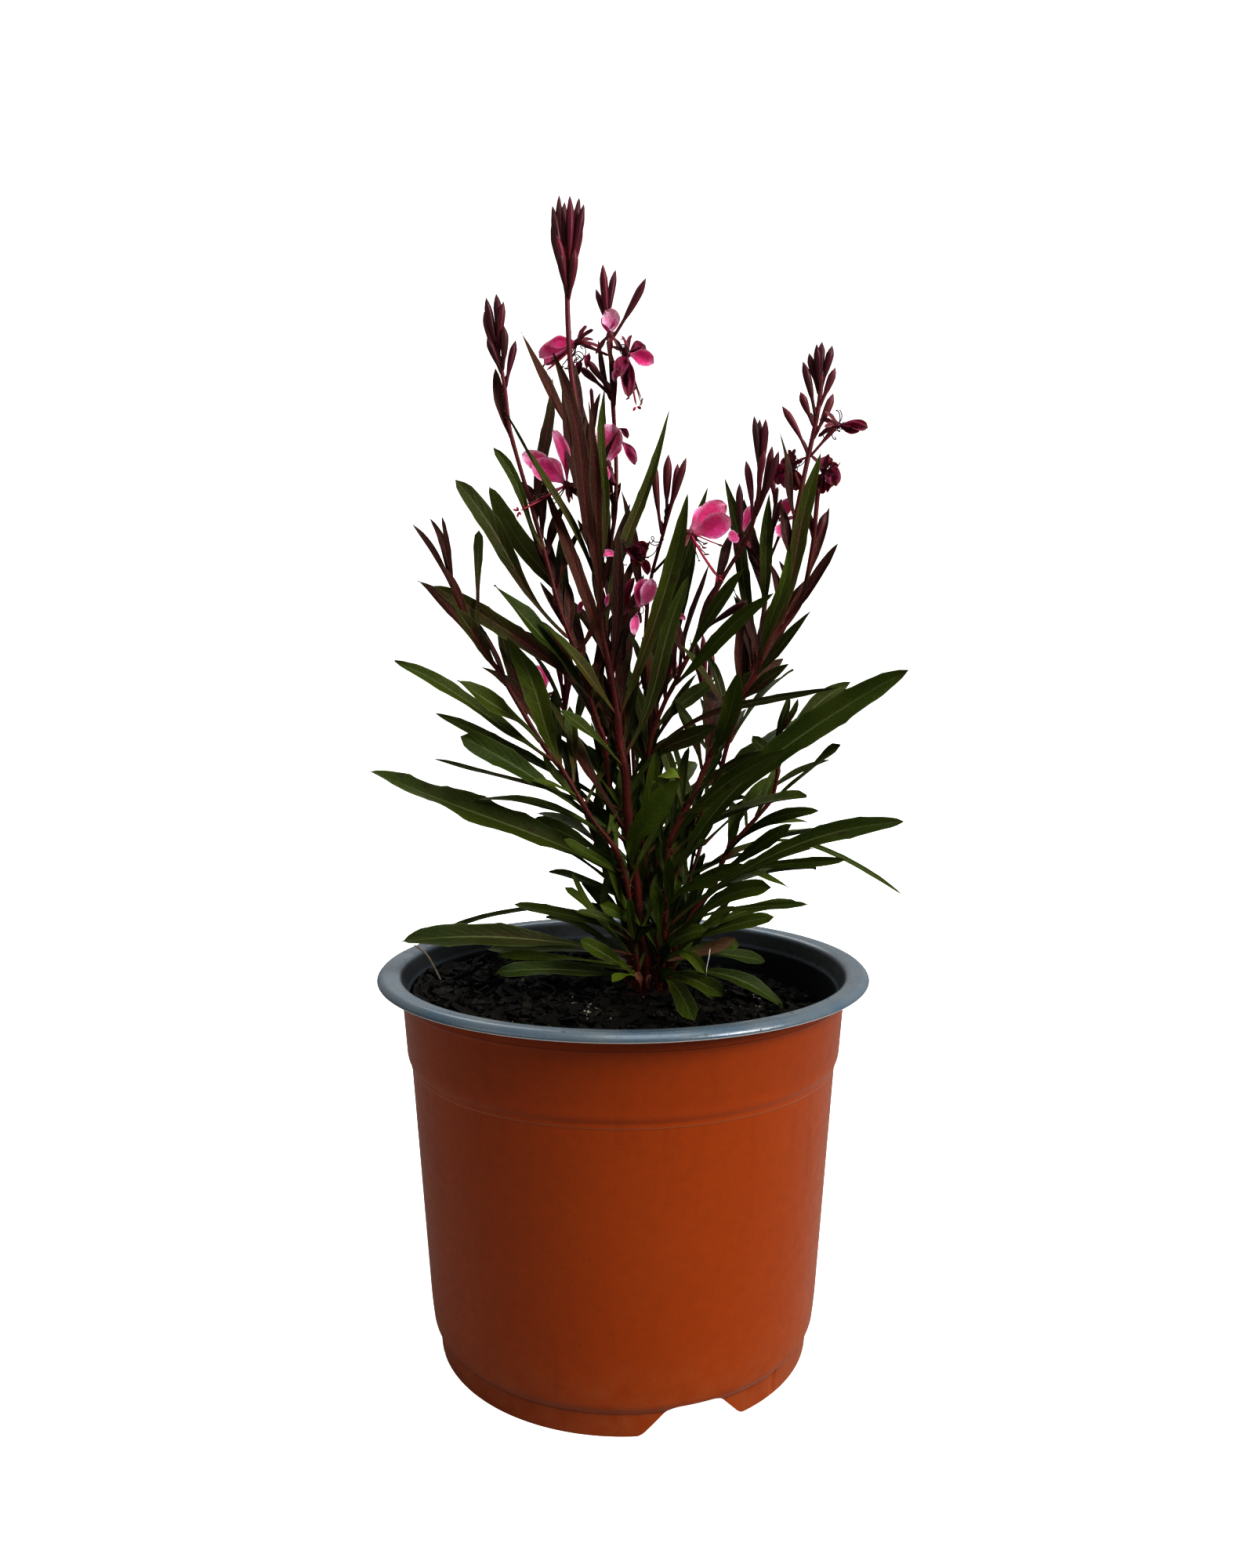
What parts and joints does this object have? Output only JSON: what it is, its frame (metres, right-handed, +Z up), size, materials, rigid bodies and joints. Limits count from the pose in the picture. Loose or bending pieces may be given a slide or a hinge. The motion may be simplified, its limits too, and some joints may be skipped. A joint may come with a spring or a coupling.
{
  "type": "potted gaura",
  "caption": "Flowering gaura with leafy reddish shoots, dark bud spikes and pink blooms, growing in a moulded plastic nursery pot.",
  "frame": {"origin": "middle of the bounding box's bottom, on the surface the pot stands on; the pot's axis is 6.4 mm towards -X from it", "axes": "+Z up along the pot's axis, -Y towards the front that the picture shows"},
  "size_m": [0.163, 0.15, 0.3458],
  "materials": {
    "pot": "satin moulded polypropylene, orange-brown outside and blue-grey on the rim and inside",
    "soil": "dark bark and peat mix with pale specks",
    "crown": "woody reddish-brown crown",
    "foliage": "leaves olive green to purple-brown with red midribs on maroon stems",
    "petal": "silky pink petals, paler at the edges",
    "wilted": "shrivelled dark pink petals",
    "straw": "dry pale straw"
  },
  "bodies": {
    "root": {"pot": "pot", "potting_soil": "soil", "root_crown": "crown", "shoot_main": "foliage", "shoot_second": "foliage", "shoot_left": "foliage", "shoot_low_left": "foliage", "shoot_right": "foliage", "shoot_centre_right": "foliage", "shoot_slender": "foliage", "shoot_low_right": "foliage", "shoot_back_right": "foliage", "shoot_back_far_right": "foliage", "shoot_back_middle": "foliage", "shoot_back_left": "foliage", "bloom_right": "petal", "bloom_left": "petal", "bloom_centre": "petal", "bloom_hanging": "petal", "bloom_closing": "petal", "bloom_pale_right": "petal", "bloom_pale_inner": "petal", "bloom_back_left": "petal", "bloom_back_middle": "petal", "bloom_wilted_top": "wilted", "bloom_low": "wilted", "bloom_wilted_right": "wilted", "bloom_wilted_inner": "wilted", "bloom_spent": "wilted", "dry_straw": "straw"}
  },
  "joints": []
}
